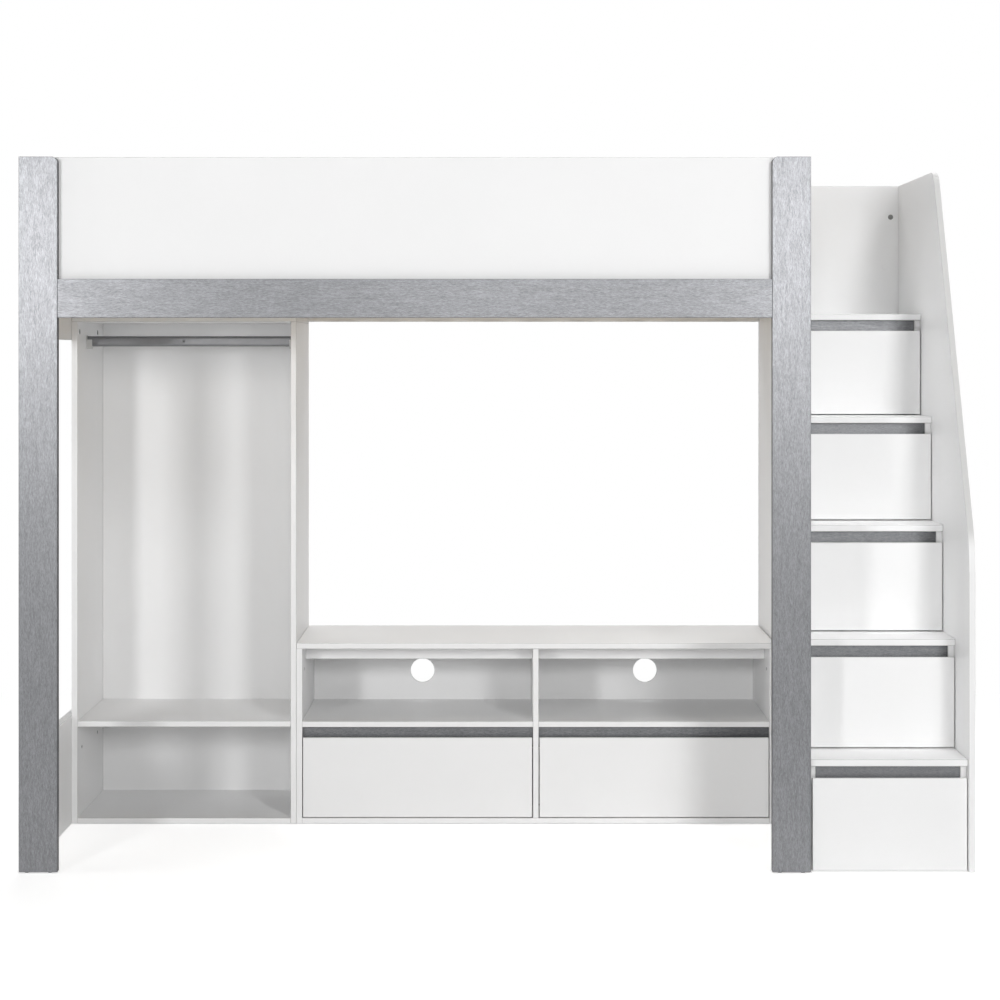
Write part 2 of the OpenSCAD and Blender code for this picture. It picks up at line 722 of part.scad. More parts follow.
module cam_locks() placed() color("silver") {
  for (y = [cabinet_front + cam_front_inset, cabinet_back - cam_rear_inset]) {
    cam_x(wardrobe_x0 + board, -1, y, wardrobe_cam_level);
    cam_x(wardrobe_x1 - board, 1, y, wardrobe_cam_level);
  }
  for (at = [guard_cam, guard_lower_cam])
    translate([at[0], stairs_back, at[1]]) rotate([90, 0, 0]) rotate([0, 0, -90]) cam();
}

// The cap that covers the guard panel's lower cam lock.
module cam_cap() placed() color(melamine)
  round_y(stairs_back - cap_thickness, stairs_back, guard_lower_cam[0], guard_lower_cam[1],
          cam_radius + cap_lip);

// A screw that fills its bore from the face at in_x, with a hexagon socket in its head.
module screw_x(in_x, out, y, z) {
  from = out > 0 ? in_x : in_x - connector_length;
  socket = out > 0 ? in_x - 1 : in_x - 3;
  difference() {
    round_x(from, from + connector_length, y, z, connector_radius);
    translate([socket, y, z]) rotate([0, 90, 0]) cylinder(h = 4, r = 2.3, $fn = 6);
  }
}

module connector_screws() placed() color("silver") {
  for (y = wardrobe_screws) screw_x(wardrobe_x0 + board, -1, y, wardrobe_screw_level);
  for (y = media_screws) {
    screw_x(media_x0 + board, -1, y, media_screw_level);
    screw_x(media_x1 - board, 1, y, media_screw_level);
  }
}

// One glide under a standing board.
module glide(x, y) translate([x, y, 0]) cylinder(h = glide_height, r = glide_radius);

module floor_glides() placed() color("dimgray") {
  for (x = [post_glide_inset, post_width - post_glide_inset]) {
    glide(x, frame_board / 2);
    glide(bed_end - x, frame_board / 2);
    glide(x, inner_back + frame_board / 2);
  }
  for (y = [cabinet_front / 3, cabinet_front]) {
    glide(inner_left / 2, y);
    glide(bed_end - board / 2, y);
  }
  for (y = [cabinet_front + side_glide_inset, cabinet_back - side_glide_inset])
    for (x = [wardrobe_x0, wardrobe_x1 - board, media_x0, media_x1 - board, media_divider_x])
      glide(x + board / 2, y);
  for (y = [gable_edge(1) + side_glide_inset, cabinet_front, stairs_back - side_glide_inset])
    for (x = [bed_end, stairs_right, guard_left])
      glide(x + board / 2, y);
}

front_left_post();
front_right_post();
front_side_rail();
front_guard_panel();
rear_left_post();
rear_guard_panel();
left_upper_end_panel();
left_lower_end_panel();
right_end_panel();
right_upper_end_guard();
slat_ledgers();
bed_slats();
wardrobe_left_side();
wardrobe_right_side();
wardrobe_top();
wardrobe_shelf();
wardrobe_bottom();
wardrobe_back();
hanging_rail();
hanging_rail_sockets();
media_top();
media_left_side();
media_right_side();
media_divider();
media_bottom();
media_shelves();
media_stretchers();
media_left_back();
media_right_back();
media_grip_strips();
stairs_left_gable();
stairs_right_gable();
stairs_guard_panel();
stairs_back_panel();
step_1_tread();
step_2_tread();
step_3_tread();
step_4_tread();
step_5_tread();
stairs_grip_strips();
drawer_runners();
cam_locks();
cam_cap();
connector_screws();
floor_glides();
media_left_drawer_front();
media_left_drawer_box();
media_right_drawer_front();
media_right_drawer_box();
step_1_drawer_front();
step_1_drawer_box();
step_2_drawer_front();
step_2_drawer_box();
step_3_drawer_front();
step_3_drawer_box();
step_4_drawer_front();
step_4_drawer_box();
step_5_drawer_front();
step_5_drawer_box();
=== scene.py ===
"""Dresses a high sleeper bed with wardrobe, media unit and drawer stairs, and sets up its studio."""

import math

import bmesh
import bpy
from mathutils import Matrix, Vector
from bpy.props import FloatProperty, FloatVectorProperty, PointerProperty


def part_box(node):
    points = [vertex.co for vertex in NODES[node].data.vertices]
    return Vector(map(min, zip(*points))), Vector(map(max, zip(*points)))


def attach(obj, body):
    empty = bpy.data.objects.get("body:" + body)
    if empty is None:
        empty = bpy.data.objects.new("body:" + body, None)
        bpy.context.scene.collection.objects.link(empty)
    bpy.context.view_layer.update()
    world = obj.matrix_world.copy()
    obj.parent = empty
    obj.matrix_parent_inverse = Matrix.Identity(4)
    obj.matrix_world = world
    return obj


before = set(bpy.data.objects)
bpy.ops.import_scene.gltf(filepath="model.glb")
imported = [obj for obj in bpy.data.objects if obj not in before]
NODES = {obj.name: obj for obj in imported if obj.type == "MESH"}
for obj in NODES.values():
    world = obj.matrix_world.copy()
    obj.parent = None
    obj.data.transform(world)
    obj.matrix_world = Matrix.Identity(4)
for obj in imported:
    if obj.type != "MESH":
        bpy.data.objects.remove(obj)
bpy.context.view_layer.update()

bl_info = {
    "name": "High Sleeper Bed",
    "version": (1, 0, 0),
    "blender": (4, 5, 0),
    "location": "3D View > Sidebar > Bed",
    "description": "Finishes a high sleeper bed and its fittings, and sets up a plain studio",
    "category": "Object",
}

MM = 0.001
STEPS = range(1, 6)
SLATS = 14
DRAWERS = ["media_left", "media_right"] + [f"step_{i}" for i in STEPS]
POSTS = ["front_left_post", "front_right_post"]
RAILS = ["front_side_rail"]
STRIPS = ["media_grip_strips", "stairs_grip_strips"]
DRAWER_BOXES = [f"{name}_drawer_box" for name in DRAWERS]
NOT_BOARDS = ["slat_ledgers", "bed_slats", "hanging_rail", "hanging_rail_sockets", "drawer_runners",
              "cam_locks", "connector_screws", "floor_glides"]
WHITE_BOARDS = [name for name in NODES
                if name not in POSTS + RAILS + STRIPS + DRAWER_BOXES + NOT_BOARDS]

# Inputs and outputs of a mix node: one set for numbers and one for colours
NUMBER_A, NUMBER_B, NUMBER_OUT = 2, 3, 0
COLOUR_A, COLOUR_B, COLOUR_OUT = 6, 7, 2

# The range that holds nearly all values of a noise texture, and the range from nothing to all
NOISE_RANGE = (0.3, 0.7)
UNIT_RANGE = (0.0, 1.0)

# What counts as one point, as one flat face and as a sharp edge when a solid's edges are eased
MERGE_DISTANCE = 0.00001
FLAT_ANGLE = math.radians(1)
SHARP_ANGLE = math.radians(30)
EASE_SEGMENTS = 2

# The floor's shadows show in a patch with these half length and half depth. The floor turns white
# between these multiples of the patch. Its lift is the glow that only the camera and reflections see.
FLOOR_RADIUS = 30
FLOOR_DROP = 0.0005
SHADOW_PATCH = (1.75, 1.25)
SHADOW_FADE = (1.0, 2.2)
FLOOR_LIFT = 0.55

# The camera looks straight at the front, and its frame is shifted down in place of a tilt
CAMERA_PLACE = (0.0079, -5.996, 1.3415)
CAMERA_SHIFT = -0.1465
SENSOR_WIDTH = 36
VIEW_LIMIT = 200
BED_MIDDLE = (0, 0, 1.0)


def linear(hex_colour):
    """Turns an sRGB hex colour into linear red, green and blue."""
    parts = [int(hex_colour[i:i + 2], 16) / 255 for i in (1, 3, 5)]
    return tuple(c / 12.92 if c <= 0.04045 else ((c + 0.055) / 1.055) ** 2.4 for c in parts)


def colour(name, description, default):
    return FloatVectorProperty(name=name, description=description, default=linear(default),
                               subtype="COLOR", size=3, min=0, max=1)


def length(name, description, default):
    return FloatProperty(name=name, description=description, default=default * MM,
                         subtype="DISTANCE", unit="LENGTH", min=0, precision=4)


def power(name, description, default):
    return FloatProperty(name=name, description=description, default=default, min=0, unit="POWER")


class BedFinishes(bpy.types.PropertyGroup):
    melamine: colour("Melamine", "White of the melamine-faced boards", "#F5F5F5")
    # Painted shade: a grey put on the white boards' eased edges in place of the shade on the rounded edge
    painted_edge_shade: colour("Painted edge shade", "Grey painted shade on the eased edges of the white boards", "#CFCFCE")
    silver: colour("Silver laminate", "Lighter tone of the brushed silver laminate", "#8D8E91")
    silver_line: colour("Hairlines", "Darker tone in the laminate's hairlines", "#6A6B6D")
    # Painted shade: the grip strips wear a darker copy of the silver laminate, for the shade in their recess
    # behind the finger gaps
    strip: colour("Grip strips", "Lighter tone of the laminate behind the finger gaps", "#767779")
    shaded_strip_line: colour("Strip hairlines", "Darker tone in the grip strips' hairlines", "#57585A")
    # Painted shade: this dark tone stands in for the shade on the silver boards' sides and eased edges
    silver_edge_shade: colour("Silver edge shade", "Dark painted shade on the sides and eased edges of the silver boards", "#4A4B4E")
    pine: colour("Pine", "Early wood of the slats", "#DFC79C")
    pine_ring: colour("Pine rings", "Late wood of the slats", "#C4A472")
    # Painted shade: the tube's own steel grey is darkened for the shade under the bed
    tube: colour("Hanging rail", "Oval steel tube of the hanging rail, its grey darkened as painted shade", "#828385")
    socket: colour("Rail sockets", "Moulded cups that hold the rail", "#D3D3D2")
    powder_coat: colour("Powder coat", "Coating of the drawer runners", "#EDEDEB")
    zinc: colour("Zinc", "Zinc plate of the cam locks and of all screws", "#828280")
    glide: colour("Glides", "Nylon glides under the boards", "#4C4C4D")


class BedSizes(bpy.types.PropertyGroup):
    eased_edge: length("Eased edge", "Width of the eased edges of the boards", 0.9)
    slat_edge: length("Slat edge", "Width of the rounded edges of the slats", 2.5)
    fitting_edge: length("Fitting edge", "Width of the eased edges of the metal fittings", 0.4)
    pearl: length("Pearl", "Spacing of the fine pearl texture on the melamine", 1.6)
    cloud: length("Cloud", "Spacing of the faint clouding in the melamine", 250)
    hairline: length("Hairline", "Width of the laminate's hairlines", 1.2)
    hairline_run: length("Hairline run", "Length of the laminate's hairlines", 10)
    ring: length("Growth rings", "Spacing of the growth rings on a slat's face", 6)
    screw_head: length("Screw head", "Radius of the runners' screw heads", 3.2)
    screw_dome: length("Screw dome", "Height of the runners' screw heads", 1.6)
    runner_screw_inset: length("Runner screw inset",
                               "Distance of a runner's screws from the ends of the box", 42)
    runner_screw_height: length("Runner screw height",
                                "Height of a runner's screws above the underside of its drawer's rollers", 20)
    runner_play: length("Runner play", "Play between the two halves of a runner", 0.3)
    runner_leg: length("Runner leg",
                       "Distance of the leg on the box from the drawer half's outer edge", 9.0)
    runner_leg_rise: length("Leg screw rise", "Height of the box's screws above the boards' screws", 2)
    slat_width: length("Slat width", "Width of a slat", 70)
    slat_screw_head: length("Slat screw head", "Radius of the slats' screw heads", 4)
    slat_screw_dome: length("Slat screw dome", "How far a slat's screw head stands proud", 0.5)
    slat_screw_inset: length("Slat screw inset", "Distance of a slat's screws from its ends", 9)


class BedStudio(bpy.types.PropertyGroup):
    paper: colour("Floor", "Paper that the bed stands on", "#F7F7F7")
    fill: FloatProperty(name="Fill", description="Strength of the even light from all round",
                        default=0.06, min=0)
    left: power("Left", "Power of the soft light at the left of the camera", 92)
    middle: power("Middle", "Power of the soft light above the camera", 28)
    right: power("Right", "Power of the soft light at the right of the camera", 77)
    high: power("High", "Power of the large soft light high up at the right", 104)
    over_stairs: power("Over stairs", "Power of the soft light above the stairs", 2.6)
    side: power("Side", "Power of the soft lights beside both ends", 50)
    over_back: power("Over back", "Power of the soft light above and behind the bed", 90)
    lens: FloatProperty(name="Lens", description="Focal length of the camera", default=76.7, min=1,
                        subtype="DISTANCE_CAMERA")


def add_node(tree, kind, settings=None, links=None):
    """Adds a node, gives it its settings and its inputs' values, and links its inputs to sockets."""
    node = tree.nodes.new(kind)
    for key, value in (settings or {}).items():
        if isinstance(key, str) and hasattr(node, key):
            setattr(node, key, value)
        else:
            node.inputs[key].default_value = value
    for key, socket in (links or {}).items():
        tree.links.new(socket, node.inputs[key])
    return node


def start_material(name):
    """A new material with its principled shader, and the coordinates of the piece that wears it."""
    material = bpy.data.materials.new(name)
    material.use_nodes = True
    tree = material.node_tree
    tree.nodes.clear()
    shader = add_node(tree, "ShaderNodeBsdfPrincipled")
    add_node(tree, "ShaderNodeOutputMaterial", links={"Surface": shader.outputs["BSDF"]})
    place = add_node(tree, "ShaderNodeTexCoord").outputs["Object"]
    return material, tree, shader, place


def set_input(tree, socket, value):
    """Links an input to a socket, or gives it a plain value."""
    if isinstance(value, bpy.types.NodeSocket):
        tree.links.new(value, socket)
    else:
        socket.default_value = value


def maths(tree, operation, *values):
    """The result of a maths node on sockets or numbers."""
    node = add_node(tree, "ShaderNodeMath", {"operation": operation})
    for socket, value in zip(node.inputs, values):
        set_input(tree, socket, value)
    return node.outputs[0]


def largest(tree, first, second, third):
    """The largest of three values."""
    return maths(tree, "MAXIMUM", maths(tree, "MAXIMUM", first, second), third)


def noise(tree, place, scale, detail, roughness=0.5):
    """The value of a noise texture."""
    settings = {"Scale": scale, "Detail": detail, "Roughness": roughness}
    return add_node(tree, "ShaderNodeTexNoise", settings, {"Vector": place}).outputs["Fac"]


def remap(tree, value, source, target=UNIT_RANGE, interpolation="LINEAR"):
    """Maps a value from the source range to the target range, and keeps it inside that."""
    settings = {"interpolation_type": interpolation, "From Min": source[0], "From Max": source[1],
                "To Min": target[0], "To Max": target[1]}
    return add_node(tree, "ShaderNodeMapRange", settings, {"Value": value}).outputs[0]


def mix_numbers(tree, share, first, second):
    """Mixes two sockets' numbers by a fixed share of the second."""
    mix = add_node(tree, "ShaderNodeMix", {"data_type": "FLOAT", "Factor": share},
                   {NUMBER_A: first, NUMBER_B: second})
    return mix.outputs[NUMBER_OUT]


def mix_colours(tree, factor, first, second, blend_type="MIX"):
    """Mixes two colours. Each of them, and the factor, is a socket or a plain value."""
    mix = add_node(tree, "ShaderNodeMix", {"data_type": "RGBA", "blend_type": blend_type})
    for key, value in (("Factor", factor), (COLOUR_A, first), (COLOUR_B, second)):
        set_input(tree, mix.inputs[key], value)
    return mix.outputs[COLOUR_OUT]


def dent(tree, shader, height, strength, distance):
    """Dents a material's surface by a height."""
    bump = add_node(tree, "ShaderNodeBump", {"Strength": strength, "Distance": distance}, {"Height": height})
    tree.links.new(bump.outputs[0], shader.inputs["Normal"])


def flatness(tree):
    """1 on a board's flat faces and 0 on its eased edges, and how far the surface looks along each axis."""
    normal = add_node(tree, "ShaderNodeNewGeometry").outputs["Normal"]
    size = add_node(tree, "ShaderNodeVectorMath", {"operation": "ABSOLUTE"}, {0: normal})
    axes = add_node(tree, "ShaderNodeSeparateXYZ", links={0: size.outputs[0]}).outputs
    flat_range = (0.93, 0.995)
    return remap(tree, largest(tree, *axes), flat_range, interpolation="SMOOTHSTEP"), axes


def melamine_board():
    """Melamine-faced chipboard, pressed with a fine pearl texture: a satin, slightly soft white.

    The bands on its edges have the same white, and a fine grey line of painted shade lies on the eased edges
    where they meet the faces.
    """
    finish = bpy.context.scene.bed_finishes
    sizes = bpy.context.scene.bed_sizes
    material, tree, shader, place = start_material("white_melamine")
    flat, _ = flatness(tree)
    tint = remap(tree, noise(tree, place, 1 / sizes.cloud, 3.0), NOISE_RANGE, (0.985, 1.0))
    face = mix_colours(tree, 1.0, (*finish.melamine, 1), tint, "MULTIPLY")
    # The eased edges take the grey painted shade and the flat faces take the white.
    skin = mix_colours(tree, flat, (*finish.painted_edge_shade, 1), face)
    tree.links.new(skin, shader.inputs["Base Color"])
    # The pressed pearl texture is drawn coarse enough to show close up.
    pearl = noise(tree, place, 1 / sizes.pearl, 2.0, 0.6)
    tree.links.new(remap(tree, pearl, NOISE_RANGE, (0.40, 0.50)), shader.inputs["Roughness"])
    dent(tree, shader, pearl, 0.25, 0.00006)
    shader.inputs["IOR"].default_value = 1.52
    return material


def brushed_laminate(name, grain, tone, line):
    """Laminate with a metallic pigment, brushed along the grain: it throws light across the grain."""
    finish = bpy.context.scene.bed_finishes
    sizes = bpy.context.scene.bed_sizes
    material, tree, shader, place = start_material(name)
    flat, axes = flatness(tree)
    fine, run = 1 / sizes.hairline, 1 / sizes.hairline_run
    stretch = {"X": (run, fine, fine), "Z": (fine, fine, run)}[grain]
    along = add_node(tree, "ShaderNodeMapping", {"Scale": stretch}, {"Vector": place}).outputs[0]
    hair = noise(tree, along, 1.0, 4.0, 0.85)
    # Wider streaks, about six hairlines across, keep a long board from looking even.
    streak_scale, streak_share = 0.17, 0.12
    both = mix_numbers(tree, streak_share, hair, noise(tree, along, streak_scale, 1.0))
    hairline_range = (0.39, 0.61)
    depth = remap(tree, both, hairline_range)
    face = mix_colours(tree, depth, (*line, 1), (*tone, 1))
    # Only the front and rear faces get the laminate's colour and metal. The narrow sides and the eased edges
    # are painted darker and dull, as painted shade.
    front = maths(tree, "MULTIPLY", flat, axes["Y"])
    skin = mix_colours(tree, front, (*finish.silver_edge_shade, 1), face)
    tree.links.new(skin, shader.inputs["Base Color"])
    metallic_share = 0.9
    tree.links.new(maths(tree, "MULTIPLY", front, metallic_share), shader.inputs["Metallic"])
    tree.links.new(remap(tree, depth, UNIT_RANGE, (0.45, 0.37)), shader.inputs["Roughness"])
    shader.inputs["Anisotropic"].default_value = 0.55
    across = {"X": (0.0, 0.0, 1.0), "Z": (1.0, 0.0, 0.0)}[grain]
    tangent = add_node(tree, "ShaderNodeCombineXYZ", dict(zip("XYZ", across)))
    tree.links.new(tangent.outputs[0], shader.inputs["Tangent"])
    dent(tree, shader, depth, 0.2, 0.00008)
    return material


def planed_pine(name, grain):
    """Planed softwood, sawn on the flat: long soft rings, dull and slightly warm."""
    finish = bpy.context.scene.bed_finishes
    sizes = bpy.context.scene.bed_sizes
    material, tree, shader, place = start_material(name)
    ring_stretch, rings_in_noise = 22, 42.0
    fine, run = 1 / sizes.ring, 1 / (sizes.ring * ring_stretch)
    stretch = {"X": (run, fine, fine), "Y": (fine, run, fine)}[grain]
    along = add_node(tree, "ShaderNodeMapping", {"Scale": stretch}, {"Vector": place}).outputs[0]
    warp = noise(tree, along, 0.35, 2.0)
    rings = maths(tree, "SINE", maths(tree, "MULTIPLY", warp, rings_in_noise))
    fibre = noise(tree, along, 6.0, 2.0)
    fibre_share, tone_range = 0.4, (-0.6, 0.9)
    tone = remap(tree, mix_numbers(tree, fibre_share, rings, fibre), tone_range)
    wood = mix_colours(tree, tone, (*finish.pine, 1), (*finish.pine_ring, 1))
    tree.links.new(wood, shader.inputs["Base Color"])
    tree.links.new(remap(tree, tone, UNIT_RANGE, (0.62, 0.5)), shader.inputs["Roughness"])
    dent(tree, shader, fibre, 0.3, 0.0001)
    shader.inputs["IOR"].default_value = 1.5
    return material


def plain_finish(name, tone, grit, roughness, metallic=0.0, dents=0.00004):
    """A finish of one colour with a fine grit, whose size is in mm: powder coat, nylon, plated steel."""
    material, tree, shader, place = start_material(name)
    cloud_size, roughness_play = grit * 9, 0.06
    grain = noise(tree, place, 1 / (grit * MM), 3.0)
    cloud = noise(tree, place, 1 / (cloud_size * MM), 2.0)
    shade = remap(tree, cloud, NOISE_RANGE, (0.92, 1.0))
    skin = mix_colours(tree, 1.0, (*tone, 1), shade, "MULTIPLY")
    tree.links.new(skin, shader.inputs["Base Color"])
    gloss = remap(tree, grain, NOISE_RANGE, (roughness - roughness_play, roughness + roughness_play))
    tree.links.new(gloss, shader.inputs["Roughness"])
    dent(tree, shader, grain, 0.3, dents)
    shader.inputs["Metallic"].default_value = metallic
    if not metallic:
        shader.inputs["IOR"].default_value = 1.5
    return material


def wear(piece, material):
    """Gives a piece one material."""
    piece.data.materials.clear()
    piece.data.materials.append(material)


def ease_edges(piece, width):
    """Rounds a solid's sharp edges, as edge banding and deburring leave them."""
    weld = piece.modifiers.new("Join faces", "WELD")
    weld.merge_threshold = MERGE_DISTANCE
    flat = piece.modifiers.new("Flat faces", "DECIMATE")
    flat.decimate_type = "DISSOLVE"
    flat.angle_limit = FLAT_ANGLE
    bevel = piece.modifiers.new("Eased edges", "BEVEL")
    bevel.width = width
    bevel.segments = EASE_SEGMENTS
    bevel.profile = 0.5
    bevel.limit_method = "ANGLE"
    bevel.angle_limit = SHARP_ANGLE
    bevel.use_clamp_overlap = True
    normals = piece.modifiers.new("Shading", "WEIGHTED_NORMAL")
    normals.keep_sharp = True


def new_piece(name, mesh, material, body):
    """A finished piece of its own, which rides on a body."""
    data = bpy.data.meshes.new(name)
    mesh.to_mesh(data)
    mesh.free()
    piece = bpy.data.objects.new(name, data)
    bpy.context.scene.collection.objects.link(piece)
    wear(piece, material)
    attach(piece, body)


class BED_OT_white_boards(bpy.types.Operator):
    """Finishes the white boards with satin melamine and eased edges"""
    bl_idname = "bed.white_boards"
    bl_label = "White Boards"

    def execute(self, context):
        material = melamine_board()
        for name in WHITE_BOARDS + DRAWER_BOXES:
            wear(NODES[name], material)
            ease_edges(NODES[name], context.scene.bed_sizes.eased_edge)
        return {"FINISHED"}


class BED_OT_silver_boards(bpy.types.Operator):
    """Finishes the posts, the side rail and the grip strips with brushed silver laminate"""
    bl_idname = "bed.silver_boards"
    bl_label = "Silver Boards"

    def execute(self, context):
        finish = context.scene.bed_finishes
        upright = brushed_laminate("silver_laminate_upright", "Z", finish.silver, finish.silver_line)
        level = brushed_laminate("silver_laminate_level", "X", finish.silver, finish.silver_line)
        # The grip strips' copy of the laminate is darker, as painted shade for their recess.
        strip = brushed_laminate("silver_laminate_strip_shaded", "X", finish.strip, finish.shaded_strip_line)
        for names, material in ((POSTS, upright), (RAILS, level), (STRIPS, strip)):
            for name in names:
                wear(NODES[name], material)
                ease_edges(NODES[name], context.scene.bed_sizes.eased_edge)
        return {"FINISHED"}


class BED_OT_slatted_base(bpy.types.Operator):
    """Finishes the slats and their ledgers with planed pine"""
    bl_idname = "bed.slatted_base"
    bl_label = "Slatted Base"

    def execute(self, context):
        for name, grain in (("bed_slats", "Y"), ("slat_ledgers", "X")):
            wear(NODES[name], planed_pine("pine_" + grain.lower(), grain))
            ease_edges(NODES[name], context.scene.bed_sizes.slat_edge)
        return {"FINISHED"}


class BED_OT_fittings(bpy.types.Operator):
    """Finishes the hanging rail, its sockets, the runners, the cam locks, the screws and the glides"""
    bl_idname = "bed.fittings"
    bl_label = "Fittings"

    def execute(self, context):
        finish = context.scene.bed_finishes
        zinc = plain_finish("zinc_plate", finish.zinc, 0.8, 0.36, metallic=1.0)
        # The rail's tube wears steel grey darkened as painted shade for its place under the bed.
        tube = plain_finish("plated_steel_tube", finish.tube, 2, 0.4, metallic=1.0, dents=0.00001)
        materials = {
            "hanging_rail": tube,
            "hanging_rail_sockets": plain_finish("moulded_abs", finish.socket, 1.2, 0.42),
            "drawer_runners": plain_finish("powder_coat", finish.powder_coat, 1.5, 0.45),
            "cam_locks": zinc,
            "connector_screws": zinc,
            "floor_glides": plain_finish("moulded_nylon", finish.glide, 1.0, 0.5),
        }
        for name, material in materials.items():
            wear(NODES[name], material)
            ease_edges(NODES[name], context.scene.bed_sizes.fitting_edge)
        return {"FINISHED"}


def shown_rays(tree):
    """1 for rays of the camera, of reflections and of refractions, and 0 for rays that light the bed."""
    path = add_node(tree, "ShaderNodeLightPath").outputs
    return largest(tree, path["Is Camera Ray"], path["Is Glossy Ray"], path["Is Transmission Ray"])


def floor_paper():
    """White studio paper, which shows shadows round the bed and runs into plain white further off."""
    studio = bpy.context.scene.bed_studio
    material, tree, shader, place = start_material("studio_paper")
    shader.inputs["Base Color"].default_value = (*studio.paper, 1)
    shader.inputs["Roughness"].default_value = 0.7
    seen = shown_rays(tree)
    near = add_node(tree, "ShaderNodeMapping", {"Scale": (1 / SHADOW_PATCH[0], 1 / SHADOW_PATCH[1], 0)},
                    {"Vector": place})
    away = add_node(tree, "ShaderNodeVectorMath", {"operation": "LENGTH"}, {0: near.outputs[0]})
    far = remap(tree, away.outputs["Value"], SHADOW_FADE, interpolation="SMOOTHSTEP")
    white = maths(tree, "MULTIPLY", seen, far)
    glow = add_node(tree, "ShaderNodeEmission", {"Strength": 1.0})
    shader.inputs["Emission Color"].default_value = (1, 1, 1, 1)
    tree.links.new(maths(tree, "MULTIPLY", seen, FLOOR_LIFT), shader.inputs["Emission Strength"])
    both = add_node(tree, "ShaderNodeMixShader", links={0: white, 1: shader.outputs[0], 2: glow.outputs[0]})
    end = [n for n in tree.nodes if n.type == "OUTPUT_MATERIAL"][0]
    tree.links.new(both.outputs[0], end.inputs["Surface"])
    return material


def soft_light(name, place, aim, width, height, watts, spread=180):
    """A rectangular soft light at a place, turned towards a point. Its spread is in degrees."""
    data = bpy.data.lights.new(name, "AREA")
    data.shape = "RECTANGLE"
    data.size = width
    data.size_y = height
    data.energy = watts
    data.spread = math.radians(spread)
    lamp = bpy.data.objects.new(name, data)
    lamp.location = place
    lamp.rotation_mode = "QUATERNION"
    lamp.rotation_quaternion = (Vector(aim) - Vector(place)).to_track_quat("-Z", "Y")
    bpy.context.scene.collection.objects.link(lamp)


def screw_head(radius, height):
    """A low domed screw head with a cross recess, on the face at z = 0."""
    dome = ((1.0, 0.0), (1.0, 0.35), (0.86, 0.8), (0.66, 1.0))
    facets = 20
    cross_reach = radius * 0.45
    cross_corner = radius * 0.1
    cross_depth = height * 0.6
    head = bmesh.new()
    rim = [head.verts.new((radius * r, 0, height * z)) for r, z in dome]
    for ends in zip(rim, rim[1:]):
        head.edges.new(ends)
    bmesh.ops.spin(head, geom=head.verts[:] + head.edges[:], cent=(0, 0, 0), axis=(0, 0, 1), angle=math.tau,
                   steps=facets, use_merge=True)
    mouth = [e for e in head.edges if e.is_boundary and e.verts[0].co.z > height / 2]
    domed = set(head.faces)
    bmesh.ops.create_grid(head, x_segments=3, y_segments=3, size=cross_reach,
                          matrix=Matrix.Translation((0, 0, height)))
    grid = [f for f in head.faces if f not in domed]
    centres = {f: f.calc_center_median() for f in grid}
    corners = [f for f in grid if min(abs(centres[f].x), abs(centres[f].y)) > cross_corner]
    bmesh.ops.delete(head, geom=corners, context="FACES")
    cross = [f for f in head.faces if f not in domed]
    lips = {e for f in cross for e in f.edges if e.is_boundary}
    bmesh.ops.bridge_loops(head, edges=mouth + list(lips))
    sunk = bmesh.ops.extrude_face_region(head, geom=cross)
    bmesh.ops.delete(head, geom=[f for f in cross if f.is_valid], context="FACES_ONLY")
    bmesh.ops.translate(head, verts=[v for v in sunk["geom"] if isinstance(v, bmesh.types.BMVert)],
                        vec=(0, 0, -cross_depth))
    bmesh.ops.recalc_face_normals(head, faces=head.faces)
    return head


def screws(name, spots, radius, height, material, body):
    """Screw heads as one piece. Each spot is a point on a face and the direction that the face looks in."""
    head = bpy.data.meshes.new("screw_head")
    pattern = screw_head(radius, height)
    pattern.to_mesh(head)
    pattern.free()
    mesh = bmesh.new()
    for at, out in spots:
        first = len(mesh.verts)
        mesh.from_mesh(head)
        mesh.verts.ensure_lookup_table()
        turn = Vector(out).to_track_quat("Z", "Y").to_matrix().to_4x4()
        bmesh.ops.transform(mesh, matrix=Matrix.Translation(at) @ turn, verts=mesh.verts[first:])
    bpy.data.meshes.remove(head)
    new_piece(name, mesh, material, body)


def runner_spots(drawer):
    """Where the halves of a drawer's runners are screwed on: to the cabinet, and to the box's sides."""
    sizes = bpy.context.scene.bed_sizes
    low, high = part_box(f"{drawer}_drawer_box")
    fixed, moving = [], []
    for x, out in ((low[0], 1), (high[0], -1)):
        for y in (low[1] + sizes.runner_screw_inset, high[1] - sizes.runner_screw_inset):
            z = low[2] + sizes.runner_screw_height
            fixed.append(((x - out * sizes.runner_play, y, z), (out, 0, 0)))
            moving.append(((x + out * sizes.runner_leg, y, z + sizes.runner_leg_rise), (-out, 0, 0)))
    return fixed, moving


def slat_spots():
    """Where the slats are screwed to their ledgers."""
    sizes = bpy.context.scene.bed_sizes
    low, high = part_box("bed_slats")
    first = low[0] + sizes.slat_width / 2
    pitch = (high[0] - low[0] - sizes.slat_width) / (SLATS - 1)
    return [((first + i * pitch, y, high[2]), (0, 0, 1)) for i in range(SLATS)
            for y in (low[1] + sizes.slat_screw_inset, high[1] - sizes.slat_screw_inset)]


